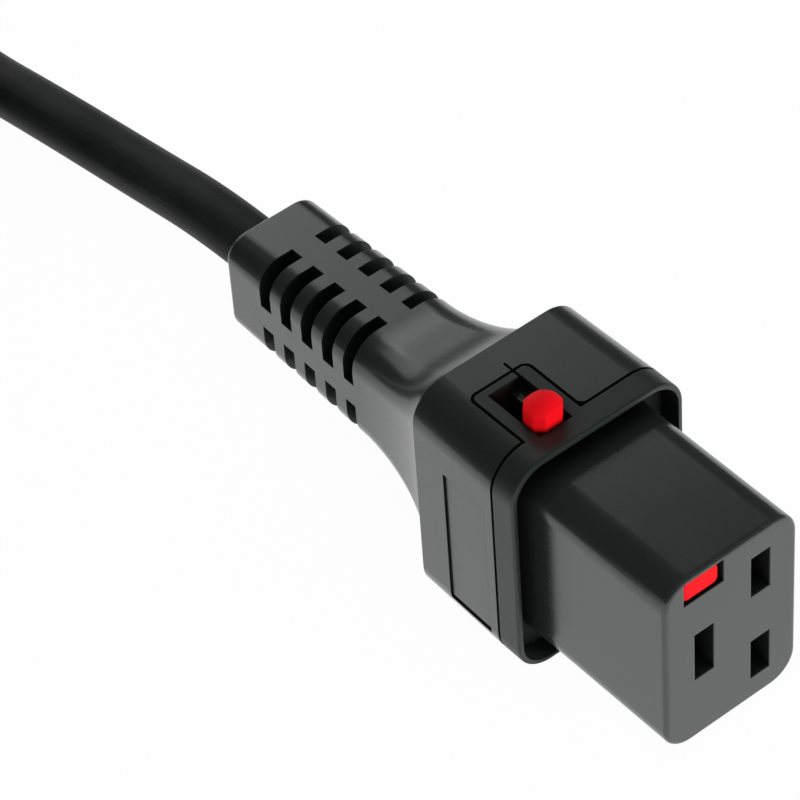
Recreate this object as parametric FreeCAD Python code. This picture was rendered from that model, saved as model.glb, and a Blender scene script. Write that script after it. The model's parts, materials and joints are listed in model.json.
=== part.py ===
import FreeCAD, Part
import math
import os

from FreeCAD import Vector

# A locking 16 A cord connector with its lead, coiled and tied, and the plug on the far end.
# Millimetres. The origin is the centre of the mating face. -Y is the way the connector is pushed
# in, +Y is the cord side, +X is to the right seen from the front, and +Z is up, the button side.

# Nose of the contact insert
nose_w = 20.0
nose_h = 27.4
nose_r = 3.8
nose_edge_r = 0.6
nose_len = 22.2            # mating face to the rim of the collar
insert_len = 37.0
slide_fit = 0.05           # clearance all round between seated mouldings

# Contact slots and the lock window in the mating face
slot_w = 2.9
earth_slot_h = 7.5
power_slot_h = 6.3
power_x = 4.4
power_pitch = 13.8
lock_x = -4.15             # the earth slot, the lock and the release slider share this line
window_w = 5.95
window_h = 3.45
window_z = 9.6             # floor of the lock window and channel

# Body: front collar and grip moulding
rim_w = 25.9
rim_h = 33.6
rim_r = 4.9
grip_rear_w = 25.2
grip_rear_y = 40.1
collar_len = 3.4
groove_w = 0.4
lip_t = 0.7
lip_root_t = 1.15
moat_depth = 2.6
spigot_step = 0.8
collar_depth = 6.6         # rim to the back of the collar's web
flange_w = 22.4
flange_h = 30.4
flange_len = 2.6

# Tongue of the collar on the top side, with the button window
tongue_x = -3.65
tongue_w = 8.2
tongue_end_y = 35.1
tongue_t = 1.5
tongue_corner = 0.8
groove_corner = 0.9        # where the tongue's groove turns into the collar's
button_window_x = -3.65
button_window_w = 4.95
button_window_y0 = 25.1
button_window_len = 9.0
slit_w = 0.35              # sight slit rearwards from the window's corner
slit_len = 2.8
slit_depth = 0.6

# Name panel on the left side, left bare
panel_y0 = 27.3
panel_y1 = 34.9
panel_z0 = -13.0
panel_z1 = 8.0
panel_depth = 0.25

# Trumpet flare and strain relief
flare_end_y = 58.1
flare_power = 1.79
flare_steps = 7
relief_w = 15.2
relief_h = 16.6
relief_r = 4.3
relief_end_w = 14.0
relief_end_h = 15.0
relief_end_r = 3.2
relief_end_y = 83.5
relief_edge_r = 0.8
slot_count = 5
slot_first_y = 58.9
slot_pitch = 4.15
slot_len = 2.1
rib_half = 1.75            # half width of the uncut rib along each flat
relief_core_r = 5.2

# Release slider and lock
slide_travel = 4.0
slider_w = 5.1
slider_h = 2.85
slider_r = 0.7
slider_front_y = 0.2
slider_side_play = 0.075   # to the channel's left side
slider_top_play = 0.1
button_x = -3.8
button_w = 4.5
button_len = 3.8
button_front_y = 25.25
button_rise = 3.1
button_corner = 1.05
button_dome_r = 3.6
neck_w = 2.0               # narrow neck between the button's head and the bar
plate_t = 1.0
plate_w = 6.2
plate_shoulder = 0.6       # body of the plate under the channel's floor
plate_pocket = 1.6         # wall between the plate's slot and the earth contact's pocket
pin_play = 0.1             # round the earth pin in the plate's window
pin_play_z = 0.3
earth_set_back = 2.4       # from the plate to the earth contact
plate_pivot_y = 11.6
plate_pivot_z = -5.6
plate_top_z = 11.1         # height of the tab when the plate stands upright
tab_w = 2.4
tab_gap = 0.3
tab_slack = 0.3            # more room round the tab, which tilts in its notch
spring_wire = 0.45
spring_r = 0.95
spring_turns = 5
lock_clear = 0.35

# Contacts and cores
contact_t = 0.7
contact_grip = 1.9         # gap between the leaves where they grip a pin
contact_front_y = 8.0
leaf_bow = 0.5             # how far the leaves open at the front
leaf_root = 0.7            # and at the back, over half the grip
leaf_front = 3.0           # from the front of the leaves to the pinch
leaf_back = 4.0            # straight run of the leaves at the back
leaf_play = 0.6            # height of the leaves under the slot's height
web_len = 6.0
crimp_neck = 2.5           # from the back of the leaves to the barrel
crimp_neck_w = 2.4
crimp_ramp = 0.5           # overlap of the ramp and the barrel
crimp_len = 7.0
crimp_gap = 0.5            # from the barrel to the core's insulation
core_lap = 1.0             # length of core inside the insert
core_d = 2.8
strand_d = 1.7
cover_t = 1.6
premould_w = 15.4
premould_h = 20.6
premould_end_w = 10.6
premould_end_h = 11.6
premould_end_y = 48.0
premould_r = 2.0
core_ring_r = 1.75
core_bend = 3.5            # straight length of a core at each end

# Cord: the lead on show, the coil of the rest, its tie and the tail
cord_d = 7.6
tie_t = 0.8
tie_w = 6.0
tie_angle = 250.0
tie_head_in = 2.2          # from the middle of the turns
tie_head_out = 2.8
tie_head_h = 4.0
tie_head_r = 0.5
tie_head_narrow = 0.2
coil_r = 38.0              # middle of the turns
coil_columns = 3
coil_layers = 2
coil_y = 170.0
floor_z = -rim_h / 2

# Plug on the far end
plug_x = -87.0
plug_face_y = 56.0
hollow_w = 20.8
hollow_h = 28.2
hollow_r = 4.2
hollow_depth = 19.0
shroud_wall = 1.7
shroud_len = 24.0
shroud_edge_r = 0.5
plug_grip_y = 19.5
plug_body_end_y = 37.0
plug_flare_end_y = 50.0
plug_len = 72.0
pin_t = 2.0
pin_inset = 2.4            # tips of the pins below the shroud's edge
pin_slot_play = 0.5        # pin width under the slot's length
pin_root = 1.0             # length of pin behind the hollow's floor
pin_tip_round = 0.8        # as a share of half the thickness
plug_slot_count = 4

collar_back_y = nose_len + collar_depth
groove_y = nose_len + collar_len
grip_front_y = groove_y + groove_w
window_floor_z = rim_h / 2 - tongue_t
core_start_y = insert_len - core_lap
contact_back_y = core_start_y - crimp_gap - crimp_len - crimp_neck
coil_x = -(coil_r + cord_d)
cord_r = cord_d / 2
low_turn_z = floor_z + tie_t + cord_r
high_turn_z = low_turn_z + (coil_layers - 1) * cord_d

# Centre line of the lead, from the strain relief to where it joins the outer turn of the coil
lead_route = [
    (0.0, relief_end_y, 0.0),
    (0.0, 94.0, 0.0),
    (0.3, 111.0, -3.6),
    (-0.4, 131.0, -6.2),
    (0.2, 151.0, -11.2),
    (0.0, coil_y, low_turn_z),
]
# Centre line of the tail, from the coil's last turn to the plug's strain relief
tail_route = [
    (2 * coil_x, coil_y, high_turn_z),
    (-89.9, 157.0, high_turn_z + 1.5),
    (plug_x, 142.5, 0.0),
    (plug_x, plug_face_y + plug_len, 0.0),
]


def box(x0, x1, y0, y1, z0, z1):
    return Part.makeBox(x1 - x0, y1 - y0, z1 - z0, Vector(x0, y0, z0))


def rounded(w, h, r, y, cx=0.0, cz=0.0):
    """Rounded rectangle across the Y axis, as a wire of four lines and four arcs."""
    a = w / 2 - r
    b = h / 2 - r
    d = r * math.sqrt(0.5)
    edges = []
    for sx, sz in ((1, 1), (-1, 1), (-1, -1), (1, -1)):
        ends = [Vector(cx + sx * (a + r), y, cz + sz * b), Vector(cx + sx * a, y, cz + sz * (b + r))]
        if sx != sz:
            ends.reverse()
        middle = Vector(cx + sx * (a + d), y, cz + sz * (b + d))
        edges.append((ends[0], middle, ends[1]))
    shape = []
    for i, (start, middle, end) in enumerate(edges):
        shape.append(Part.Arc(start, middle, end).toShape())
        shape.append(Part.LineSegment(end, edges[(i + 1) % 4][0]).toShape())
    return Part.Wire(shape)


def slab(w, h, r, y0, y1, cx=0.0, cz=0.0):
    return Part.Face(rounded(w, h, r, y0, cx, cz)).extrude(Vector(0, y1 - y0, 0))


def loft(*sections):
    return Part.makeLoft([rounded(*s) for s in sections], True, False)


def rod(d, y0, y1, x=0.0, z=0.0):
    return Part.makeCylinder(d / 2, y1 - y0, Vector(x, y0, z), Vector(0, 1, 0))


def fillet_face(solid, y, r):
    """Round the outer edges that lie in the plane at y."""
    edges = [e for e in solid.Edges if all(abs(v.Y - y) < 1e-6 for v in e.Vertexes)]
    return solid.makeFillet(r, edges)


def rounded_path(points):
    """Straight runs joined by tangent arcs, each as large as 0.45 of its shorter run allows."""
    at = [Vector(*p) for p in points]
    edges = []
    start = at[0]
    radii = []
    for before, corner, after in zip(at, at[1:], at[2:]):
        back = (before - corner).normalize()
        ahead = (after - corner).normalize()
        run = 0.45 * min((before - corner).Length, (after - corner).Length)
        half_turn = (math.pi - back.getAngle(ahead)) / 2
        radius = run / math.tan(half_turn)
        first = corner + back * run
        last = corner + ahead * run
        inward = (back + ahead).normalize()
        middle = corner + inward * (radius / math.cos(half_turn) - radius)
        edges.append(Part.LineSegment(start, first).toShape())
        edges.append(Part.Arc(first, middle, last).toShape())
        radii.append(radius)
        start = last
    edges.append(Part.LineSegment(start, at[-1]).toShape())
    return Part.Wire(edges), radii


def tube(points, d, name=None):
    path, radii = rounded_path(points)
    start = Vector(*points[0])
    heading = Vector(*points[1]) - start
    ring = Part.Wire(Part.makeCircle(d / 2, start, heading))
    solid = path.makePipeShell([ring], True, False)
    if name:
        wanted = math.pi * d * d / 4 * path.Length
        print(name, "length", round(path.Length, 1), "radii", [round(r, 1) for r in radii],
              "volume over section x length", round(solid.Volume / wanted, 4))
    return solid


def flare_sections(body, relief, y0, y1):
    """Sections of a concave trumpet from the body's (w, h, r) to the strain relief's."""
    sections = []
    for i in range(flare_steps + 1):
        angle = math.pi / 2 * i / flare_steps
        along = 1 - math.cos(angle) ** (2 / flare_power)
        down = math.sin(angle) ** (2 / flare_power)
        size = [b + (s - b) * down for b, s in zip(body, relief)]
        sections.append((*size, y0 + (y1 - y0) * along))
    return sections


def relief_slots(first_y, count, pitch, length):
    """Slots round the four corners of a strain relief, which leave a core and four ribs."""
    reach = max(relief_w, relief_h)
    cutters = []
    for i in range(count):
        y0 = first_y + i * pitch - length / 2
        disc = box(-reach, reach, y0, y0 + length, -reach, reach)
        disc = disc.cut(rod(2 * relief_core_r, y0, y0 + length))
        disc = disc.cut(box(-rib_half, rib_half, y0, y0 + length, -reach, reach))
        disc = disc.cut(box(-reach, reach, y0, y0 + length, -rib_half, rib_half))
        cutters.append(disc)
    return Part.makeCompound(cutters)


def grip_outer(front_y, rear_y, flare_y, end_y, slots):
    """Body block, flare and slotted strain relief as one moulding, still solid inside."""
    body = (grip_rear_w, rim_h, rim_r)
    relief = (relief_w, relief_h, relief_r)
    block = loft((rim_w, rim_h, rim_r, front_y), (*body, rear_y))
    flare = loft(*flare_sections(body, relief, rear_y, flare_y))
    stem = loft((*relief, flare_y), (relief_end_w, relief_end_h, relief_end_r, end_y))
    stem = fillet_face(stem, end_y, relief_edge_r).cut(slots)
    return block.fuse([flare, stem])


def contact_insert():
    body = fillet_face(slab(nose_w, nose_h, nose_r, 0, insert_len), 0, nose_edge_r)
    body = body.fuse(slab(flange_w, flange_h, nose_r, collar_back_y, collar_back_y + flange_len))
    cuts = [box(lock_x - slot_w / 2, lock_x + slot_w / 2, -1, insert_len,
                -earth_slot_h / 2, earth_slot_h / 2)]
    cuts.append(contact_pocket(lock_x, 0, earth_slot_h))
    for side in (1, -1):
        z = side * power_pitch / 2
        cuts.append(box(power_x - slot_w / 2, power_x + slot_w / 2, -1, insert_len,
                        z - power_slot_h / 2, z + power_slot_h / 2))
        cuts.append(contact_pocket(power_x, z, power_slot_h))
    cuts.append(box(lock_x - window_w / 2, lock_x + window_w / 2, -1, insert_len,
                    window_z, window_z + window_h))
    cuts.append(plate_cavity())
    cuts.append(neck_slot())
    return body.cut(cuts)


def contact_pocket(x, z, slot_h):
    half_w = contact_grip / 2 + 2 * contact_t + lock_clear
    half_h = slot_h / 2 + contact_t
    front = plate_pivot_y + plate_t + plate_pocket if x == lock_x else contact_front_y - leaf_bow
    return box(x - half_w, x + half_w, front, insert_len, z - half_h, z + half_h)


def plate_cavity():
    lean = plate_t / 2 + lock_clear
    return box(lock_x - plate_w / 2 - lock_clear, lock_x + plate_w / 2 + lock_clear,
               plate_pivot_y - slide_travel - 2 * lean, plate_pivot_y + lean,
               plate_pivot_z - plate_t, window_z)


def neck_slot():
    """Narrow slot for the button's neck in the walls above the channel, over its whole travel."""
    half = neck_w / 2 + lock_clear / 2
    return box(lock_x - half, lock_x + half, button_window_y0,
               button_window_y0 + button_window_len, window_z + window_h / 2, rim_h / 2)


def front_collar():
    collar = fillet_face(slab(rim_w, rim_h, rim_r, nose_len, groove_y), nose_len, lip_t / 2)
    step = 2 * spigot_step
    collar = collar.fuse(slab(rim_w - step, rim_h - step, rim_r - spigot_step, groove_y, collar_back_y))
    collar = collar.fuse(tongue())
    moat = loft(
        (rim_w - 2 * lip_t, rim_h - 2 * lip_t, rim_r - lip_t, nose_len),
        (rim_w - 2 * lip_root_t, rim_h - 2 * lip_root_t, rim_r - lip_root_t, nose_len + moat_depth),
    )
    gap = 2 * slide_fit
    opening = slab(nose_w + gap, nose_h + gap, nose_r + slide_fit, nose_len, collar_back_y)
    left = button_window_x - button_window_w / 2
    window = box(left, left + button_window_w, button_window_y0,
                 button_window_y0 + button_window_len, window_floor_z, rim_h)
    return collar.cut([moat, opening, window, neck_slot(), sight_slit()])


def sight_slit():
    """Narrow slit from the window's rear corner across the end of the tongue into the grip."""
    right = button_window_x + button_window_w / 2
    back_y = button_window_y0 + button_window_len
    return box(right - slit_w, right, back_y, back_y + slit_len, rim_h / 2 - slit_depth, rim_h)


def body_block(inset=0.0):
    """The grip's tapering block between the groove and the flare, or one inset at its sides."""
    across = 2 * inset
    return loft((rim_w - across, rim_h, rim_r, grip_front_y),
                (grip_rear_w - across, rim_h, rim_r, grip_rear_y))


def tongue():
    """The collar's tongue, which follows the grip's top surface."""
    skin = slab(rim_w, rim_h, rim_r, groove_y, grip_front_y).fuse(body_block())
    return skin.common(tongue_box(0.0, 0.0))


def tongue_box(gap, clearance):
    half = tongue_w / 2 + gap
    block = box(tongue_x - half, tongue_x + half, groove_y, tongue_end_y + gap,
                window_floor_z - clearance, rim_h)
    return round_upright(block, tongue_end_y + gap, tongue_corner + gap)


def round_upright(solid, y, r, x=None):
    """Round the upright edges that stand at y, or only the one that stands at x and y."""
    edges = [e for e in solid.Edges
             if all(abs(v.Y - y) < 1e-6 and (x is None or abs(v.X - x) < 1e-6) for v in e.Vertexes)
             and abs(e.Vertexes[0].Z - e.Vertexes[-1].Z) > 0.5]
    return solid.makeFillet(r, edges)


def grip_moulding():
    slots = relief_slots(slot_first_y, slot_count, slot_pitch, slot_len)
    grip = grip_outer(grip_front_y, grip_rear_y, flare_end_y, relief_end_y, slots)
    gap = 2 * slide_fit
    step = 2 * spigot_step
    cuts = [
        slab(rim_w - step + gap, rim_h - step + gap, rim_r - spigot_step + slide_fit,
             grip_front_y - 1, collar_back_y),
        slab(flange_w + gap, flange_h + gap, nose_r + slide_fit,
             collar_back_y, collar_back_y + flange_len + slide_fit),
        slab(nose_w + gap, nose_h + gap, nose_r + slide_fit,
             collar_back_y, insert_len + cover_t),
        premould_block(gap),
        rod(cord_d + gap, premould_end_y, relief_end_y + 1),
        tongue_box(groove_w, slide_fit),
        neck_slot(),
        sight_slit(),
        name_panel(),
    ]
    side_x = tongue_x + tongue_w / 2 + groove_w
    return round_upright(grip.cut(cuts), grip_front_y, groove_corner, side_x)


def name_panel():
    """Shallow recess that follows the left side of the grip."""
    field = box(-rim_w, 0, panel_y0, panel_y1, panel_z0, panel_z1)
    return field.cut(body_block(panel_depth))


def premould_block(gap=0.0):
    front_y = insert_len + cover_t
    return loft(
        (premould_w + gap, premould_h + gap, premould_r, front_y),
        (premould_end_w + gap, premould_end_h + gap, premould_r, premould_end_y),
    )


def core_route(x, z, angle):
    """From the back of a contact to the core's place in the cord."""
    end_x = core_ring_r * math.cos(angle)
    end_z = core_ring_r * math.sin(angle)
    return [
        (x, core_start_y, z),
        (x, core_start_y + core_bend, z),
        (end_x, premould_end_y - core_bend, end_z),
        (end_x, premould_end_y, end_z),
    ]


contacts = {
    "line": (power_x, power_pitch / 2, power_slot_h, math.radians(60)),
    "neutral": (power_x, -power_pitch / 2, power_slot_h, math.radians(-60)),
    "earth": (lock_x, 0.0, earth_slot_h, math.radians(180)),
}


def core_bores():
    bore_d = core_d + 2 * slide_fit
    return [tube(core_route(x, z, angle), bore_d) for x, z, _, angle in contacts.values()]


def insert_back_cover():
    cover = slab(nose_w, nose_h, nose_r, insert_len, insert_len + cover_t)
    return cover.cut(core_bores())


def inner_premould():
    block = premould_block()
    return block.cut(core_bores())


def pin_contact(x, z, slot_h):
    """Folded contact: a web with two leaves that pinch the pin, and a crimp barrel behind it."""
    height = slot_h - leaf_play
    root = contact_grip / 2 + leaf_root
    front_y = contact_front_y if x == power_x else plate_pivot_y + plate_t + earth_set_back
    back_y = contact_back_y
    leaves = []
    for side in (1, -1):
        inner = [(contact_grip / 2 + leaf_bow, front_y), (contact_grip / 2, front_y + leaf_front),
                 (root, back_y - leaf_back), (root, back_y)]
        outer = [(u + contact_t, y) for u, y in reversed(inner)]
        corners = [Vector(x + side * u, y, z - height / 2) for u, y in inner + outer]
        corners.append(corners[0])
        leaves.append(Part.Face(Part.makePolygon(corners)).extrude(Vector(0, 0, height)))
    half = root + contact_t
    low = z - height / 2
    web = box(x - half, x + half, back_y - web_len, back_y, low, low + contact_t)
    half = crimp_neck_w / 2
    barrel_y = back_y + crimp_neck
    ramp_y = barrel_y + crimp_ramp
    neck = box(x - half, x + half, back_y - contact_t, ramp_y, low, low + contact_t)
    ramp = box(x - half, x + half, barrel_y - crimp_ramp, ramp_y, low, z)
    bore = rod(strand_d, back_y, barrel_y + crimp_len, x, z)
    barrel = rod(strand_d + 2 * contact_t, barrel_y, barrel_y + crimp_len, x, z)
    return leaves[0].fuse([leaves[1], web, neck, ramp.cut(bore), barrel.cut(bore)])


def strands(x, z):
    start_y = contact_back_y + crimp_neck + crimp_len / 5
    return rod(strand_d, start_y, core_start_y, x, z)


def release_slider():
    """Bar that shows in the lock window, with a notch for the plate's tab, and the domed button."""
    top = window_z + window_h - slider_top_play
    left = lock_x - window_w / 2 + slider_side_play
    back_y = button_front_y + button_len
    bar = slab(slider_w, slider_h, slider_r, slider_front_y, back_y,
               left + slider_w / 2, top - slider_h / 2)
    tab_y = plate_pivot_y - slide_travel
    notch = plate_t / 2 + tab_gap + tab_slack
    bar = bar.cut(box(left, left + slider_w, tab_y - notch, tab_y + notch,
                      window_z, plate_top_z + tab_gap + tab_slack))
    under = window_floor_z + lock_clear / 2
    neck = box(lock_x - neck_w / 2, lock_x + neck_w / 2, button_front_y, back_y,
               top - slider_h / 2, under + tab_gap)
    return bar.fuse([neck, button_head(under)])


def button_head(under):
    """Octagon with a domed top."""
    middle = Vector(button_x, button_front_y + button_len / 2, under)
    corners = []
    for sx, sy in ((1, -1), (1, 1), (-1, 1), (-1, -1)):
        near = Vector(sx * (button_w / 2 - button_corner), sy * button_len / 2, 0)
        far = Vector(sx * button_w / 2, sy * (button_len / 2 - button_corner), 0)
        corners += [near, far] if sx * sy < 0 else [far, near]
    corners.append(corners[0])
    top = rim_h / 2 + button_rise
    head = Part.Face(Part.makePolygon([middle + c for c in corners])).extrude(Vector(0, 0, top - under))
    dome = Part.makeSphere(button_dome_r, Vector(middle.x, middle.y, top - button_dome_r))
    stem = Part.makeCylinder(button_dome_r, top - button_dome_r - under, middle)
    return head.common(dome.fuse(stem))


def lock_plate():
    """Steel plate with a window for the earth pin; at rest it leans forward about its lower edge."""
    lever = plate_top_z - plate_pivot_z
    plate = box(lock_x - plate_w / 2, lock_x + plate_w / 2, -plate_t / 2, plate_t / 2,
                -plate_t / 2, window_z - plate_pivot_z - plate_shoulder)
    tab = box(lock_x - tab_w / 2, lock_x + tab_w / 2, -plate_t / 2, plate_t / 2, 0, lever)
    half_w = slot_w / 2 + pin_play
    half_h = earth_slot_h / 2 + pin_play_z
    window = box(lock_x - half_w, lock_x + half_w, -plate_t, plate_t,
                 -plate_pivot_z - half_h, -plate_pivot_z + half_h)
    plate = plate.fuse(tab).cut(window)
    edges = [e for e in plate.Edges if all(abs(v.Z + plate_t / 2) < 1e-6 for v in e.Vertexes)
             and abs(e.Length - plate_w) < 1e-6]
    plate = plate.makeFillet(plate_t / 2 * 0.9, edges)
    plate.rotate(Vector(0, 0, 0), Vector(1, 0, 0), lock_lean_deg())
    plate.translate(Vector(0, plate_pivot_y, plate_pivot_z))
    return plate


def lock_lean_deg():
    """How far the plate leans when the slider is forward."""
    return math.degrees(math.asin(slide_travel / (plate_top_z - plate_pivot_z)))


def lock_spring():
    start_y = button_front_y + button_len + spring_wire / 2
    length = insert_len - spring_wire / 2 - start_y
    helix = Part.makeHelix(length / spring_turns, length, spring_r)
    profile = Part.Wire(Part.makeCircle(spring_wire / 2, Vector(spring_r, 0, 0), Vector(0, 1, 0)))
    coil = Part.Wire(helix).makePipeShell([profile], True, True)
    coil.rotate(Vector(0, 0, 0), Vector(1, 0, 0), -90)
    coil.translate(Vector(lock_x, start_y, window_z + window_h / 2))
    return coil


def cord_coil():
    """Outer shape of the tied turns: a ring with a rounded section."""
    return ring_solid(0.0, 360.0)


def ring_solid(grow, sweep, start=0.0):
    half_w = coil_columns * cord_r + grow
    half_h = coil_layers * cord_r + grow
    middle_z = (low_turn_z + high_turn_z) / 2
    section = rounded(2 * half_w, 2 * half_h, cord_r + grow, 0.0, coil_r, middle_z)
    ring = Part.Face(section).revolve(Vector(0, 0, 0), Vector(0, 0, 1), sweep)
    ring.rotate(Vector(0, 0, 0), Vector(0, 0, 1), start)
    ring.translate(Vector(coil_x, coil_y, 0))
    return ring


def cord_tie():
    sweep = math.degrees(tie_w / coil_r)
    band = ring_solid(tie_t, sweep, tie_angle).cut(ring_solid(0.0, 360.0))
    top = high_turn_z + cord_r
    half = tie_w / 2 - tie_head_narrow
    head = box(coil_r - tie_head_in, coil_r + tie_head_out, -half, half, top + tie_t / 2, top + tie_head_h)
    head = head.makeFillet(tie_head_r, head.Edges)
    head.rotate(Vector(0, 0, 0), Vector(0, 0, 1), tie_angle + sweep / 2)
    head.translate(Vector(coil_x, coil_y, 0))
    return band.fuse(head)


def at_plug(solid):
    solid.translate(Vector(plug_x, plug_face_y, 0))
    return solid


def plug_shroud():
    wall = 2 * shroud_wall
    outer = slab(hollow_w + wall, hollow_h + wall, hollow_r + shroud_wall, 0, shroud_len)
    outer = fillet_face(outer, 0, shroud_edge_r)
    shroud = outer.cut(slab(hollow_w, hollow_h, hollow_r, -1, hollow_depth))
    seats = [pin_at(*p, hollow_depth - pin_root, shroud_len) for p in plug_pins.values()]
    return at_plug(shroud.cut(seats))


def pin_at(x, z, slot_h, y0, y1):
    height = slot_h - pin_slot_play
    return box(x - pin_t / 2, x + pin_t / 2, y0, y1, z - height / 2, z + height / 2)


def plug_pin(x, z, slot_h):
    pin = pin_at(x, z, slot_h, pin_inset, shroud_len)
    tip = [e for e in pin.Edges if all(abs(v.Y - pin_inset) < 1e-6 for v in e.Vertexes)]
    return at_plug(pin.makeFillet(pin_t / 2 * pin_tip_round, tip))


plug_pins = {
    "line": (-power_x, power_pitch / 2, power_slot_h),
    "neutral": (-power_x, -power_pitch / 2, power_slot_h),
    "earth": (-lock_x, 0.0, earth_slot_h),
}


def plug_grip():
    slots = relief_slots(plug_flare_end_y + slot_pitch / 2, plug_slot_count, slot_pitch, slot_len)
    grip = grip_outer(plug_grip_y, plug_body_end_y, plug_flare_end_y, plug_len, slots)
    gap = 2 * (shroud_wall + slide_fit)
    seat = slab(hollow_w + gap, hollow_h + gap, hollow_r + gap / 2, plug_grip_y - 1, shroud_len)
    return at_plug(grip.cut(seat))


def build():
    made = {
        "contact_insert": contact_insert(),
        "insert_back_cover": insert_back_cover(),
        "front_collar": front_collar(),
        "grip_moulding": grip_moulding(),
        "inner_premould": inner_premould(),
        "release_slider": release_slider(),
        "lock_plate": lock_plate(),
        "lock_spring": lock_spring(),
        "cord_jacket_end": rod(cord_d, premould_end_y, relief_end_y),
        "cord_lead": tube(lead_route, cord_d, "cord_lead"),
        "cord_coil": cord_coil(),
        "cord_tie": cord_tie(),
        "cord_tail": tube(tail_route, cord_d, "cord_tail"),
        "plug_grip": plug_grip(),
        "plug_shroud": plug_shroud(),
    }
    for name, (x, z, slot_h, angle) in contacts.items():
        made[name + "_contact"] = pin_contact(x, z, slot_h)
        made[name + "_strands"] = strands(x, z)
        made[name + "_core"] = tube(core_route(x, z, angle), core_d)
        made["plug_" + name + "_pin"] = plug_pin(*plug_pins[name])
    return made


os.makedirs("parts", exist_ok=True)
for node, solid in build().items():
    solid = solid.removeSplitter()
    if len(solid.Solids) != 1 or not solid.isValid():
        print("CHECK", node, len(solid.Solids), "solids, valid", solid.isValid())
    solid.exportStep("parts/" + node + ".step")
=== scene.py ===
import json
import math

import bmesh
import bpy
from mathutils import Matrix, Vector


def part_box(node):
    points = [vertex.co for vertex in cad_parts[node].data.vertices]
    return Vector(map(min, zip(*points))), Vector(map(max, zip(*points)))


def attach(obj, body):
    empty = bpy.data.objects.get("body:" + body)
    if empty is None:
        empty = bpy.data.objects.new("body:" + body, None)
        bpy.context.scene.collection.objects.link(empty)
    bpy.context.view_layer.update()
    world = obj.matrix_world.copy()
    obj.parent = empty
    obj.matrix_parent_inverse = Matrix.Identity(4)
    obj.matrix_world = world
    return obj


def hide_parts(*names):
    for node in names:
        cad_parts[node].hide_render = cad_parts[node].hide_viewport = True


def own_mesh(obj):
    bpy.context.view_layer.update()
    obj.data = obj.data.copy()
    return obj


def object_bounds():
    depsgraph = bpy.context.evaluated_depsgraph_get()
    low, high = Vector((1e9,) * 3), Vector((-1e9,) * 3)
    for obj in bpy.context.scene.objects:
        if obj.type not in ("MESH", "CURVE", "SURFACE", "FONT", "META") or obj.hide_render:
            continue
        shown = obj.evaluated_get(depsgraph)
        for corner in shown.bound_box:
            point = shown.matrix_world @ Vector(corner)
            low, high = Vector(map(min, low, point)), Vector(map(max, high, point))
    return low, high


# A locking 16 A cord connector, its lead, coiled and tied, and the plug on the far end.
# Metres. The origin is the centre of the mating face, -Y is the way the connector is pushed in,
# +Y is the cord side, +X is to the right seen from the front, and +Z is up, the button side.

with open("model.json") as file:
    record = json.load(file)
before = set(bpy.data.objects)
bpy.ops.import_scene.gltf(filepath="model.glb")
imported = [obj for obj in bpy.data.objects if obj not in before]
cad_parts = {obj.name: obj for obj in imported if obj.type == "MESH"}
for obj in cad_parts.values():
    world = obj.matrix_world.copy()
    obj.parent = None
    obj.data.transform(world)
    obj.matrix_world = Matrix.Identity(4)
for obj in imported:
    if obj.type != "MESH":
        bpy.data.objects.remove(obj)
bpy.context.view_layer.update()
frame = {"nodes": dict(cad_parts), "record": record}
nodes = frame["nodes"]
MM = 0.001

# The plain materials give up their names, so that those made below can take them.
for plain in list(bpy.data.materials):
    plain.name = "plain_" + plain.name

# ---------------------------------------------------------------- shader and geometry graphs


class Value:
    """A socket that adds Math nodes when it stands in an expression."""

    def __init__(self, graph, socket):
        self.graph = graph
        self.socket = socket

    def __add__(self, other):
        return self.graph.math("ADD", self, other)

    __radd__ = __add__

    def __mul__(self, other):
        return self.graph.math("MULTIPLY", self, other)

    __rmul__ = __mul__

    def __sub__(self, other):
        return self.graph.math("SUBTRACT", self, other)

    def __rsub__(self, other):
        return self.graph.math("SUBTRACT", other, self)


class Graph:
    """Adds nodes to a shader or geometry tree, each with its settings first and then its inputs."""

    def __init__(self, tree):
        self.tree = tree

    def add(self, kind, settings=None, inputs=None, out=0):
        """Gives the new node's output that out names or numbers, or all of them if out is None."""
        node = self.tree.nodes.new(kind)
        for name, value in (settings or {}).items():
            setattr(node, name, value)
        for name, value in (inputs or {}).items():
            socket = node.inputs[name]
            if isinstance(value, Value):
                self.tree.links.new(value.socket, socket)
            else:
                socket.default_value = value
        if out is None:
            return {socket.name: Value(self, socket) for socket in node.outputs}
        return Value(self, node.outputs[out]) if len(node.outputs) else node

    def math(self, operation, a, b, clamp=False):
        settings = {"operation": operation, "use_clamp": clamp}
        return self.add("ShaderNodeMath", settings, {0: a, 1: b})

    def mix(self, factor, a, b):
        """Mix of two colours."""
        inputs = {0: factor, 6: a, 7: b}
        return self.add("ShaderNodeMix", {"data_type": "RGBA"}, inputs, out=2)

    def ramp(self, value, low, high):
        """0 at low, 1 at high, straight between and level beyond; low may be the larger."""
        return self.add("ShaderNodeMapRange", None, {"Value": value, 1: low, 2: high})


# ---------------------------------------------------------------- kinds of material


def rgb(r, g, b):
    return (r, g, b, 1.0)


WHITE = rgb(1, 1, 1)
BLACK = rgb(0, 0, 0)
PALE_GREEN = rgb(0.92, 1.0, 0.965)


def times(color, factor):
    """Colour made darker or lighter by a factor."""
    return rgb(*(factor * c for c in color[:3]))


def new_material(name):
    material = bpy.data.materials.new(name)
    material.use_nodes = True
    material.node_tree.nodes.clear()
    return material, Graph(material.node_tree)


def finish_material(graph, surface):
    graph.add("ShaderNodeOutputMaterial", None, {"Surface": surface})


def shader(graph, color, roughness, normal, **fixed):
    """Principled shader; what is the same all over is set on its own sockets."""
    inputs = {"Base Color": color, "Roughness": roughness, "Normal": normal}
    for name, value in fixed.items():
        inputs[name.replace("_", " ").title().replace("Ior", "IOR")] = value
    return graph.add("ShaderNodeBsdfPrincipled", None, inputs)


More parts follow.
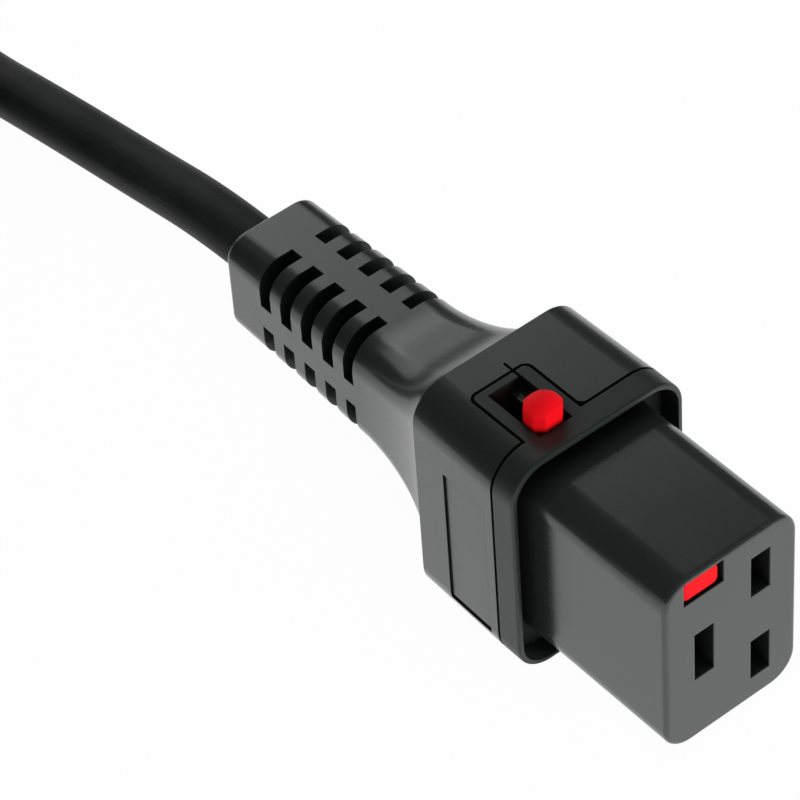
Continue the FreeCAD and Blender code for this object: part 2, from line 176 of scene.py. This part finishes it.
def noise(graph, place, scale, detail, stretch=None):
    if stretch:
        place = graph.add("ShaderNodeMapping", None, {"Vector": place, "Scale": stretch})
    inputs = {"Vector": place, "Scale": scale, "Detail": detail}
    return graph.add("ShaderNodeTexNoise", None, inputs)


def object_place(graph):
    return graph.add("ShaderNodeTexCoord", out="Object")


def rounded_normal(graph, radius):
    """Normal with every edge rounded by the radius."""
    return graph.add("ShaderNodeBevel", {"samples": 6}, {"Radius": radius})


def bumped(graph, height, depth, normal=None):
    """Normal of a surface that a height, from 0 to 1, raises by up to the depth."""
    inputs = {"Strength": 1.0, "Distance": depth, "Height": height}
    if normal:
        inputs["Normal"] = normal
    return graph.add("ShaderNodeBump", None, inputs)


def edge_mask(graph, radius):
    """1 on edges and 0 on faces, from how far the rounded normal turns from the face's own."""
    on_face, on_edge = 0.995, 0.86
    normals = {
        0: rounded_normal(graph, radius),
        1: graph.add("ShaderNodeNewGeometry", out="True Normal")}
    turn = graph.add("ShaderNodeVectorMath", {"operation": "DOT_PRODUCT"}, normals, out="Value")
    return graph.ramp(turn, on_face, on_edge)


def open_mask(graph, reach):
    """1 on open surfaces and 0 down in slots, where less than half of the sky is free: the mask for
    painted shade in slots.
    """
    in_slot, in_open = 0.5, 0.92
    free = graph.add("ShaderNodeAmbientOcclusion", {"samples": 8}, {"Distance": reach}, out="AO")
    return graph.ramp(free, in_slot, in_open)


def moulded(name, color, pale_edge, roughness, grain, depth, edge_r=0.16 * MM, edge_paling=0.5, sheen=0.8,
            coat=0.0, reach=3.0 * MM, glow=0.0, tint=PALE_GREEN, stripe=None):
    """Moulded plastic: fine eroded grain, cloudy tone, faint scuffs, paler edges that are rubbed
    edges and a painted highlight, and painted shade down in slots.

    grain is the scale of the grain and depth its height. edge_r rounds the edges, and the setting
    after it is how far they take the pale edge colour. reach is how near a wall has to be for
    painted shade in a slot. sheen and tint are the reflection's strength and colour. stripe is the
    colour of the +X side. glow is painted light.
    """
    tone_spread, painted_slot_shade = 0.16, 0.12
    grain_rough, scuff_rough, edge_rough, slot_rough = 0.14, 0.06, 0.5, 0.4
    scuff_height = 0.25

    material, g = new_material(name)
    place = object_place(g)
    cloud = noise(g, place, scale=90.0, detail=3.0)
    fine = noise(g, place, scale=grain, detail=3.0)
    scuff = noise(g, place, scale=700.0, detail=2.0, stretch=(1.0, 0.12, 1.0))
    edge = edge_mask(g, edge_r) * edge_paling
    lit = open_mask(g, reach)

    tone = g.ramp(cloud, low=0.3, high=0.7) * 0.5 + g.ramp(fine, low=0.25, high=0.75) * 0.5
    base = g.mix(tone, times(color, 1 - tone_spread), times(color, 1 + tone_spread))
    if stripe:
        facing = g.add("ShaderNodeTexCoord", out="Normal")
        sideways = g.add("ShaderNodeSeparateXYZ", None, {"Vector": facing}, out="X")
        base = g.mix(g.ramp(sideways, low=0.1, high=0.16), base, stripe)
    # Paler edges: rubbed edges and a painted highlight along them, in one colour.
    base = g.mix(edge, base, pale_edge)
    # Painted shade: down in slots the colour turns much darker, and further on the coat and the
    # glow are taken away there too.
    base = g.mix(lit, times(color, painted_slot_shade), base)

    rough = roughness + (fine - 0.5) * grain_rough + (scuff - 0.5) * scuff_rough
    rough = rough + edge * edge_rough + (1.0 - lit) * slot_rough
    bump = bumped(g, fine + scuff * scuff_height, depth, rounded_normal(g, edge_r))
    fixed = {"specular_ior_level": sheen, "specular_tint": tint}
    if coat:
        fixed.update(coat_weight=lit * coat, coat_roughness=0.2)
    # Painted light: the colour shines by itself though the part is no lamp, and it stays dark in
    # slots.
    if glow:
        fixed.update(emission_color=g.mix(lit, BLACK, color), emission_strength=glow)
    finish_material(g, shader(g, base, rough, bump, **fixed))
    return material


def metal(name, color, roughness, scale, stretch, depth):
    """Drawn or stamped metal with fine lines and a cloudy dullness."""
    dull_tone, line_rough, dull_rough = 0.82, 0.2, 0.16
    edge_r = 0.08 * MM

    material, g = new_material(name)
    place = object_place(g)
    lines = noise(g, place, scale, detail=3.0, stretch=stretch)
    cloud = noise(g, place, scale=260.0, detail=3.0)
    base = g.mix(g.ramp(cloud, low=0.3, high=0.7), times(color, dull_tone), color)
    rough = roughness + (lines - 0.5) * line_rough + (cloud - 0.5) * dull_rough
    bump = bumped(g, lines, depth, rounded_normal(g, edge_r))
    finish_material(g, shader(g, base, rough, bump, metallic=1.0))
    return material


def cord_jacket(name):
    """Extruded black jacket with faint lines along it."""
    dark, light = rgb(0.010, 0.011, 0.011), rgb(0.023, 0.024, 0.024)
    roughness, line_rough, fine_rough = 0.52, 0.2, 0.1
    line_tone, fine_height = 0.6, 0.3

    material, g = new_material(name)
    uv = g.add("ShaderNodeTexCoord", out="UV")
    place = object_place(g)
    lines = noise(g, uv, scale=1.0, detail=3.0, stretch=(90.0, 44.0, 1.0))
    cloud = noise(g, place, scale=120.0, detail=3.0)
    fine = noise(g, place, scale=5200.0, detail=2.0)
    tone = g.ramp(cloud + (lines - 0.5) * line_tone, low=0.3, high=0.7)
    base = g.mix(tone, dark, light)
    rough = roughness + (lines - 0.5) * line_rough + (fine - 0.5) * fine_rough
    bump = bumped(g, lines + fine * fine_height, depth=0.05 * MM)
    finish_material(g, shader(g, base, rough, bump, specular_ior_level=0.14))
    return material


# ---------------------------------------------------------------- camera


def camera_axes(azimuth, elevation, roll):
    """Right, up and back of a camera turned to the azimuth and elevation, in degrees."""
    a, e, r = map(math.radians, (azimuth, elevation, roll))
    back = Vector((math.sin(a) * math.cos(e), -math.cos(a) * math.cos(e), math.sin(e)))
    right = Vector((math.cos(a), math.sin(a), 0.0))
    up = back.cross(right)
    return (right * math.cos(r) + up * math.sin(r), up * math.cos(r) - right * math.sin(r), back)


def add_camera():
    to_right, to_up, distance = -0.0372947, 0.0262110, 0.473506
    right, up, back = camera_axes(azimuth=-36.3066, elevation=45.0054, roll=-4.5070)
    data = bpy.data.cameras.new("camera")
    data.sensor_width = 36.0
    data.lens = 189.37
    data.clip_start = 0.01
    data.clip_end = 10.0
    camera = bpy.data.objects.new("camera", data)
    bpy.context.scene.collection.objects.link(camera)
    place = right * to_right + up * to_up + back * distance
    camera.matrix_world = Matrix((
        (right.x, up.x, back.x, place.x),
        (right.y, up.y, back.y, place.y),
        (right.z, up.z, back.z, place.z),
        (0, 0, 0, 1)))
    bpy.context.scene.camera = camera


add_camera()

# ---------------------------------------------------------------- cord

cord_d = 7.6 * MM
coil_r = 38.0 * MM
coil_centre = Vector((-45.6, 170.0, 0.0)) * MM
coil_turns = 5.5
turn_points = 16
low_z = -12.2 * MM
high_z = -4.6 * MM

# Where along the coil, in degrees, it moves one column in or out, or climbs to the upper layer.
moves_in = ((266, 326), (626, 686))
moves_out = ((1226, 1286), (1586, 1646))
climb = (986, 1046)

lead_route = [(0.0, 83.5, 0.0), (0.0, 94.0, 0.0), (0.3, 111.0, -3.6), (-0.4, 131.0, -6.2),
              (0.2, 151.0, -11.2)]
tail_route = [(-89.9, 157.0, -3.1), (-87.0, 142.5, 0.0), (-87.0, 128.0, 0.0)]


def ease(value, start, end):
    """0 up to start, 1 from end on, and a smooth rise between."""
    t = min(max((value - start) / (end - start), 0.0), 1.0)
    return t * t * (3 - 2 * t)


def coil_points():
    """Three turns inwards on the floor, one climb, then out again on top for two and a half."""
    step = 360.0 / turn_points
    chord_share = math.cos(math.radians(step / 2))
    points = []
    for i in range(int(coil_turns * turn_points) + 1):
        angle = i * step
        column = 1.0
        for span in moves_in:
            column -= ease(angle, *span)
        for span in moves_out:
            column += ease(angle, *span)
        radius = (coil_r + column * cord_d) / chord_share
        z = low_z + (high_z - low_z) * ease(angle, *climb)
        turn = math.radians(angle)
        points.append(coil_centre + Vector((radius * math.cos(turn), radius * math.sin(turn), z)))
    return points


def add_cord(material):
    """The whole free cord as one spline, from the connector's strain relief to the plug's."""
    lead = [Vector(p) * MM for p in lead_route]
    tail = [Vector(p) * MM for p in tail_route]
    route = lead + coil_points() + tail
    curve = bpy.data.curves.new("lead_cord", "CURVE")
    curve.dimensions = "3D"
    spline = curve.splines.new("NURBS")
    spline.points.add(len(route) - 1)
    for point, place in zip(spline.points, route):
        point.co = (*place, 1.0)
    spline.order_u = 3
    spline.use_endpoint_u = True
    spline.resolution_u = 8
    curve.bevel_depth = cord_d / 2
    curve.bevel_resolution = 9
    curve.use_fill_caps = True
    curve.materials.append(material)
    cord = bpy.data.objects.new("lead_cord", curve)
    bpy.context.scene.collection.objects.link(cord)
    return cord


cord_black = cord_jacket("cord_black")
cord = add_cord(cord_black)
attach(cord, "housing")
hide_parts("cord_lead", "cord_coil", "cord_tail")

# ---------------------------------------------------------------- pieces made by rule


def sized_tree(name, sizes):
    """Geometry tree with a named input for each size, and the values of those inputs."""
    tree = bpy.data.node_groups.new(name, "GeometryNodeTree")
    tree.interface.new_socket("Geometry", in_out="OUTPUT", socket_type="NodeSocketGeometry")
    tree.interface.new_socket("Outline", in_out="INPUT", socket_type="NodeSocketGeometry")
    for label, value in sizes.items():
        kind = "NodeSocketInt" if isinstance(value, int) else "NodeSocketFloat"
        tree.interface.new_socket(label, in_out="INPUT", socket_type=kind)
    entry = tree.nodes.new("NodeGroupInput")
    graph = Graph(tree)
    return graph, {label: Value(graph, entry.outputs[label]) for label in ("Outline", *sizes)}


def join(graph, *parts):
    node = graph.tree.nodes.new("GeometryNodeJoinGeometry")
    for part in parts:
        graph.tree.links.new(part.socket, node.inputs[0])
    return Value(graph, node.outputs[0])


def one_skin(graph, shape):
    """Union of the closed shells in a shape, with nothing left inside."""
    settings = {"operation": "UNION", "solver": "EXACT"}
    inputs = {"Mesh 2": shape, "Self Intersection": True}
    return graph.add("GeometryNodeMeshBoolean", settings, inputs)


def realized(graph, shape):
    return graph.add("GeometryNodeRealizeInstances", None, {"Geometry": shape})


def moved(graph, shape, **how):
    """Shape with a translation or a rotation."""
    inputs = {"Geometry": shape}
    inputs.update({name.title(): value for name, value in how.items()})
    return graph.add("GeometryNodeTransform", None, inputs)


def vector(graph, **parts):
    """Vector with the given x, y and z, and 0 for the rest."""
    inputs = {axis.upper(): value for axis, value in parts.items()}
    return graph.add("ShaderNodeCombineXYZ", None, inputs)


def circle(graph, corners, radius):
    inputs = {"Resolution": corners, "Radius": radius}
    return graph.add("GeometryNodeCurvePrimitiveCircle", None, inputs)


def helix(graph, corners, turns, radius, length):
    """Even helix up along Z, with so many corners to a turn."""
    return graph.add("GeometryNodeCurveSpiral", None, {
        "Resolution": corners, "Rotations": turns, "Start Radius": radius,
        "End Radius": radius, "Height": length})


def swept(graph, path, profile, caps=False):
    inputs = {"Curve": path, "Profile Curve": profile, "Fill Caps": caps}
    return graph.add("GeometryNodeCurveToMesh", None, inputs)


def grown_piece(name, graph, shape, sizes, material, outline=None):
    """Plain mesh object from a geometry tree, with its modifier gone."""
    inputs = {"Geometry": realized(graph, shape), "Material": material}
    dressed = graph.add("GeometryNodeSetMaterial", None, inputs)
    graph.add("NodeGroupOutput", None, {"Geometry": dressed})
    piece = bpy.data.objects.new(name, outline or bpy.data.meshes.new(name))
    bpy.context.scene.collection.objects.link(piece)
    rule = piece.modifiers.new("rule", "NODES")
    rule.node_group = graph.tree
    for item in graph.tree.interface.items_tree:
        if item.in_out == "INPUT" and item.name in sizes:
            rule[item.identifier] = sizes[item.name]
    ready = piece.evaluated_get(bpy.context.evaluated_depsgraph_get())
    mesh = bpy.data.meshes.new_from_object(ready)
    piece.modifiers.remove(rule)
    piece.data = mesh
    return piece


# ---------------------------------------------------------------- cord tie

tie_t = 0.8 * MM
tie_w = 6.0 * MM
tie_angle = 250.0


def set_on_tie(mesh):
    """From the tie's own axes, X outwards, Y up and Z round the coil, to its place on the coil."""
    middle = math.radians(tie_angle) + tie_w / coil_r / 2
    for vertex in mesh.vertices:
        out, up, along = vertex.co
        turn = middle - along / coil_r
        reach = coil_r + out
        rise = (low_z + high_z) / 2 + up
        vertex.co = coil_centre + Vector((reach * math.cos(turn), reach * math.sin(turn), rise))


def left_turn(a, b, c):
    """Above 0 where the way from a over b to c turns left."""
    return (b[0] - a[0]) * (c[1] - a[1]) - (b[1] - a[1]) * (c[0] - a[0])


def bundle_outline():
    """Closed line of a taut strap round the five turns under the tie, in the tie's own axes."""
    half = cord_d / 2
    turns = [(cord_d, -half), (0.0, -half), (-cord_d, -half), (0.0, half), (cord_d, half)]
    steps = 40
    straight = 1e-12
    angles = [i * math.tau / steps for i in range(steps)]
    rim = sorted((x + half * math.cos(a), y + half * math.sin(a)) for x, y in turns for a in angles)
    outline = []
    for side in (rim, rim[::-1]):
        chain = []
        for p in side:
            while len(chain) > 1 and left_turn(chain[-2], chain[-1], p) <= straight:
                chain.pop()
            chain.append(p)
        outline += chain[:-1]
    mesh = bpy.data.meshes.new("bundle_outline")
    edges = [(i, (i + 1) % len(outline)) for i in range(len(outline))]
    mesh.from_pydata([(x, y, 0.0) for x, y in outline], edges, [])
    return mesh


def add_tie_strap(material):
    """Flat strap round the turns, with a rail along each side and ratchet teeth between them."""
    sizes = {"Strap width": tie_w, "Web": 0.5 * MM, "Rail width": 0.8 * MM, "Rail height": tie_t,
             "Tooth pitch": 1.05 * MM, "Tooth height": 0.2 * MM}
    rounding = 0.2
    tooth_lift = 0.3

    g, size = sized_tree("tie_strap", sizes)
    path = g.add("GeometryNodeMeshToCurve", None, {"Mesh": size["Outline"]})
    path = g.add("GeometryNodeSetCurveNormal", {"mode": "Z_UP"}, {"Curve": path})

    def band(width, thick, aside):
        profile = g.add("GeometryNodeCurvePrimitiveQuadrilateral", None, {
            "Width": thick, "Height": width})
        profile = g.add("GeometryNodeFilletCurve", {"mode": "POLY"}, {
            "Curve": profile, "Radius": thick * rounding, "Count": 3, "Limit Radius": True})
        profile = moved(g, profile, translation=vector(g, x=thick * 0.5, y=aside))
        return swept(g, path, profile)

    rail_middle = (size["Strap width"] - size["Rail width"]) * 0.5
    web = band(size["Strap width"], size["Web"], 0.0)
    left = band(size["Rail width"], size["Rail height"], rail_middle)
    right = band(size["Rail width"], size["Rail height"], rail_middle * -1.0)

    points = g.add("GeometryNodeCurveToPoints", {"mode": "LENGTH"}, {
        "Curve": path, "Length": size["Tooth pitch"]}, out=None)
    tooth = g.add("GeometryNodeMeshCylinder", None, {
        "Vertices": 3, "Radius": size["Tooth height"],
        "Depth": size["Strap width"] - size["Rail width"] * 2.0}, out="Mesh")
    tooth = moved(g, tooth, rotation=(math.pi / 2, 0, 0))
    raised = vector(g, x=size["Web"] + size["Tooth height"] * tooth_lift)
    tooth = moved(g, tooth, translation=raised)
    teeth = g.add("GeometryNodeInstanceOnPoints", None, {
        "Points": points["Points"], "Instance": tooth, "Rotation": points["Rotation"]})
    whole = one_skin(g, join(g, web, left, right, realized(g, teeth)))
    strap = grown_piece("tie_strap", g, whole, sizes, material, bundle_outline())
    set_on_tie(strap.data)
    return strap


def rounded_block(bm, low, high, radius):
    """Box with rounded edges between two corners."""
    made = bmesh.ops.create_cube(bm, size=1.0)["verts"]
    low, high = Vector(low), Vector(high)
    for vertex in made:
        vertex.co = (low + high) / 2 + Vector(a * b for a, b in zip(vertex.co, high - low))
    edges = list({e for v in made for e in v.link_edges})
    bmesh.ops.bevel(bm, geom=edges, offset=radius, segments=3, profile=0.5, affect="EDGES")


def add_tie_head(material):
    """Locking head on top of the turns, open at the mouth, with its pawl and the cut end."""
    left, right = -2.2 * MM, 2.8 * MM
    half = tie_w / 2 - 0.2 * MM
    foot = cord_d + tie_t / 2
    base_top = foot + 1.1 * MM
    roof_low = foot + 2.6 * MM
    roof_top = foot + 3.6 * MM
    wall = half - 0.7 * MM
    pawl_low, pawl_top, pawl_half = foot + 1.8 * MM, foot + 2.9 * MM, 1.6 * MM
    end_low, end_top, end_half = foot + 1.25 * MM, foot + 1.86 * MM, half - 0.9 * MM
    blocks = {
        "base": ((left, foot, -half), (right, base_top, half), 0.3 * MM),
        "roof": ((left, roof_low, -half), (right, roof_top, half), 0.3 * MM),
        "near wall": ((left, foot, -half), (right, roof_top, -wall), 0.25 * MM),
        "far wall": ((left, foot, wall), (right, roof_top, half), 0.25 * MM),
        "pawl": ((left + 0.5 * MM, pawl_low, -pawl_half), (right - 0.6 * MM, pawl_top, pawl_half),
                 0.2 * MM),
        "cut end": ((left - 1.8 * MM, end_low, -end_half), (right + 0.9 * MM, end_top, end_half),
                    0.12 * MM)}
    bm = bmesh.new()
    for low, high, radius in blocks.values():
        rounded_block(bm, low, high, radius)
    mesh = bpy.data.meshes.new("tie_head")
    bm.to_mesh(mesh)
    bm.free()
    g, size = sized_tree("tie_head", {})
    head = grown_piece("tie_head", g, one_skin(g, size["Outline"]), {}, material, mesh)
    set_on_tie(head.data)
    return head


# ---------------------------------------------------------------- spring and copper wires

spring_wire_r = 0.225 * MM
spring_coil_r = 0.95 * MM


def stand_along_y(mesh, x, y, z):
    """Turns a mesh made up along Z so that it lies along Y from a point."""
    mesh.transform(Matrix.Translation((x, y, z)) @ Matrix.Rotation(math.radians(-90), 4, "X"))


def add_lock_spring(material):
    """Compression spring between the slider's back and the cover behind it."""
    low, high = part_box("lock_spring")
    sizes = {"Wire radius": spring_wire_r, "Coil radius": spring_coil_r,
             "Length": high.y - low.y - 2 * spring_wire_r, "Turns": 5.0}
    g, size = sized_tree("spring_coil", sizes)
    path = helix(g, corners=28, turns=size["Turns"], radius=size["Coil radius"],
                 length=size["Length"])
    round_wire = circle(g, corners=12, radius=size["Wire radius"])
    wire = swept(g, path, round_wire, caps=True)
    spring = grown_piece("spring_coil", g, wire, sizes, material)
    middle = (low + high) / 2
    stand_along_y(spring.data, middle.x, low.y + spring_wire_r, middle.z)
    return spring


def add_wires(node, material):
    """Twisted bundle of fine wires: one in the middle, then a ring of six and a ring of twelve."""
    wires_across = 5
    low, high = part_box(node)
    sizes = {"Wire radius": (high.x - low.x) / (2 * wires_across), "Length": high.y - low.y,
             "Twist": 0.35, "Inner wires": 6, "Outer wires": 12}
    g, size = sized_tree(node + "_wires", sizes)
    round_wire = circle(g, corners=8, radius=size["Wire radius"])

    def ring(count, radius):
        path = helix(g, corners=40, turns=size["Twist"], radius=radius, length=size["Length"])
        wire = swept(g, path, round_wire, caps=True)
        places = g.add("GeometryNodePoints", None, {"Count": size[count]})
        turn = g.add("GeometryNodeInputIndex") * (math.tau / sizes[count])
        return g.add("GeometryNodeInstanceOnPoints", None, {
            "Points": places, "Instance": wire, "Rotation": vector(g, z=turn)})

    axis = g.add("GeometryNodeCurvePrimitiveLine", None, {"End": vector(g, z=size["Length"])})
    middle_wire = swept(g, axis, round_wire, caps=True)
    inner = ring("Inner wires", size["Wire radius"] * 2.0)
    outer = ring("Outer wires", size["Wire radius"] * 4.0)
    bundle = join(g, middle_wire, inner, outer)
    wires = grown_piece(node + "_wires", g, bundle, sizes, material)
    middle = (low + high) / 2
    stand_along_y(wires.data, middle.x, low.y, middle.z)
    return wires


# ---------------------------------------------------------------- materials, each named as its slot

by_slot = {material.name: material for material in (
    cord_black,
    moulded(
        "insert_black", color=rgb(0.020, 0.0236, 0.022), pale_edge=rgb(0.05, 0.055, 0.053),
        roughness=0.22, grain=3000.0, depth=0.006 * MM, edge_r=0.35 * MM, sheen=0.85,
        reach=4.0 * MM),
    moulded(
        "grip_black", color=rgb(0.015, 0.020, 0.018), pale_edge=rgb(0.06, 0.066, 0.064),
        roughness=0.4, grain=3400.0, depth=0.02 * MM, sheen=0.22, coat=0.8),
    moulded(
        "collar_black", color=rgb(0.016, 0.021, 0.0195), pale_edge=rgb(0.05, 0.056, 0.054),
        roughness=0.44, grain=3400.0, depth=0.016 * MM, sheen=0.5),
    moulded(
        "premould_black", color=rgb(0.06, 0.06, 0.06), pale_edge=rgb(0.12, 0.12, 0.12),
        roughness=0.55, grain=2600.0, depth=0.02 * MM),
    # The red slider glows, a painted light that makes it brighter than the lamps alone would.
    moulded(
        "slider_red", color=rgb(0.58, 0.004, 0.008), pale_edge=rgb(0.9, 0.06, 0.06),
        roughness=0.5, grain=3000.0, depth=0.006 * MM, edge_r=0.45 * MM, edge_paling=0.0, sheen=0.08,
        reach=1.2 * MM, glow=0.45, tint=WHITE),
    moulded(
        "tie_black", color=rgb(0.03, 0.03, 0.031), pale_edge=rgb(0.08, 0.08, 0.08),
        roughness=0.42, grain=3000.0, depth=0.008 * MM),
    moulded(
        "core_brown", color=rgb(0.16, 0.07, 0.03), pale_edge=rgb(0.2, 0.1, 0.06),
        roughness=0.4, grain=2200.0, depth=0.006 * MM),
    moulded(
        "core_blue", color=rgb(0.04, 0.13, 0.5), pale_edge=rgb(0.1, 0.2, 0.6),
        roughness=0.4, grain=2200.0, depth=0.006 * MM),
    moulded(
        "core_green_yellow", color=rgb(0.05, 0.3, 0.06), pale_edge=rgb(0.3, 0.5, 0.1),
        roughness=0.4, grain=2200.0, depth=0.006 * MM, stripe=rgb(0.75, 0.6, 0.04)),
    metal(
        "plate_steel", color=rgb(0.55, 0.55, 0.56), roughness=0.34,
        scale=900.0, stretch=(1.0, 1.0, 0.1), depth=0.006 * MM),
    metal(
        "spring_steel", color=rgb(0.5, 0.5, 0.52), roughness=0.3,
        scale=1800.0, stretch=(1.0, 0.3, 1.0), depth=0.004 * MM),
    metal(
        "contact_brass", color=rgb(0.75, 0.72, 0.62), roughness=0.36,
        scale=900.0, stretch=(1.0, 0.12, 1.0), depth=0.005 * MM),
    metal(
        "strand_copper", color=rgb(0.72, 0.35, 0.2), roughness=0.35,
        scale=3000.0, stretch=(1.0, 0.1, 1.0), depth=0.02 * MM),
    metal(
        "pin_nickel", color=rgb(0.72, 0.7, 0.65), roughness=0.24,
        scale=800.0, stretch=(1.0, 0.1, 1.0), depth=0.003 * MM))}

# ---------------------------------------------------------------- pieces that only the scene has

strap = add_tie_strap(by_slot["tie_black"])
head = add_tie_head(by_slot["tie_black"])
for piece in (strap, head):
    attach(piece, "housing")
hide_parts("cord_tie")

spring = add_lock_spring(by_slot["spring_steel"])
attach(spring, "housing")
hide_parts("lock_spring")
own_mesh(spring)

for node in ("line_strands", "neutral_strands", "earth_strands"):
    wires = add_wires(node, by_slot["strand_copper"])
    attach(wires, "housing")
    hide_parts(node)

# Every node takes the material that has the name of its slot.
slot_of = {s["node"]: s["material_slot"] for s in frame["record"]["subparts"]}
for node, shown in nodes.items():
    shown.data.materials.clear()
    shown.data.materials.append(by_slot[slot_of[node]])

# ---------------------------------------------------------------- floor, backdrop and light


def seen_directly(graph):
    """1 where the camera, a reflection or a view through something sees the surface."""
    rays = [graph.add("ShaderNodeLightPath", out=name)
            for name in ("Is Camera Ray", "Is Glossy Ray", "Is Transmission Ray")]
    return graph.math("ADD", rays[0] + rays[1], rays[2], clamp=True)


def add_floor():
    """Floor that is seen white and keeps a faint shadow."""
    half_width = 3.0
    seen_white = 0.975
    floor_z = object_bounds()[0][2]
    corners = [(-1, -1), (1, -1), (1, 1), (-1, 1)]
    mesh = bpy.data.meshes.new("floor")
    mesh.from_pydata([(x * half_width, y * half_width, floor_z) for x, y in corners],
                     [], [(0, 1, 2, 3)])
    floor = bpy.data.objects.new("floor", mesh)
    bpy.context.scene.collection.objects.link(floor)
    material, g = new_material("floor_white")
    diffuse = g.add("ShaderNodeBsdfDiffuse", None, {"Color": rgb(0.86, 0.86, 0.86)})
    glow = g.add("ShaderNodeEmission", None, {"Color": WHITE, "Strength": 1.0})
    factor = seen_directly(g) * seen_white
    finish_material(g, g.add("ShaderNodeMixShader", None, {0: factor, 1: diffuse, 2: glow}))
    material.cycles.emission_sampling = "NONE"
    mesh.materials.append(material)


def add_world(level):
    """White to the camera, and an even light of the level to everything else."""
    world = bpy.data.worlds.new("room")
    world.use_nodes = True
    world.node_tree.nodes.clear()
    g = Graph(world.node_tree)
    seen = g.add("ShaderNodeLightPath", out="Is Camera Ray")
    strength = seen * (1.0 - level) + level
    light = g.add("ShaderNodeBackground", None, {"Color": WHITE, "Strength": strength})
    g.add("ShaderNodeOutputWorld", None, {"Surface": light})
    bpy.context.scene.world = world


def add_lamp(name, place, aim, size, power, reflected=True):
    """Flat lamp; if it isn't reflected, it lights surfaces but no shine shows it."""
    data = bpy.data.lights.new(name, "AREA")
    data.shape = "RECTANGLE"
    data.size, data.size_y = size
    data.energy = power
    lamp = bpy.data.objects.new(name, data)
    bpy.context.scene.collection.objects.link(lamp)
    lamp.visible_glossy = reflected
    lamp.location = place
    lamp.rotation_euler = (Vector(aim) - Vector(place)).to_track_quat("-Z", "Y").to_euler()


nose = (0.0, 0.0, 0.0)
body = (0.0, 0.05, 0.0)
add_floor()
add_world(level=0.07)
add_lamp("front", place=(0.40, -0.85, 0.11), aim=nose, size=(1.3, 0.24), power=11.5,
         reflected=False)
add_lamp("rear_right", place=(0.34, 0.68, 0.55), aim=body, size=(0.4, 0.3), power=0.5)
add_lamp("rear", place=(0.1, 0.75, 0.35), aim=body, size=(0.6, 0.4), power=0.85)
add_lamp("top", place=(-0.25, -0.34, 0.9), aim=body, size=(0.5, 0.5), power=3.6, reflected=False)

bpy.context.scene.view_settings.view_transform = "Standard"

plug_nodes = ("plug_grip", "plug_shroud", "plug_line_pin", "plug_neutral_pin", "plug_earth_pin")
cord_pieces = [strap, head] + [nodes[n] for n in plug_nodes]
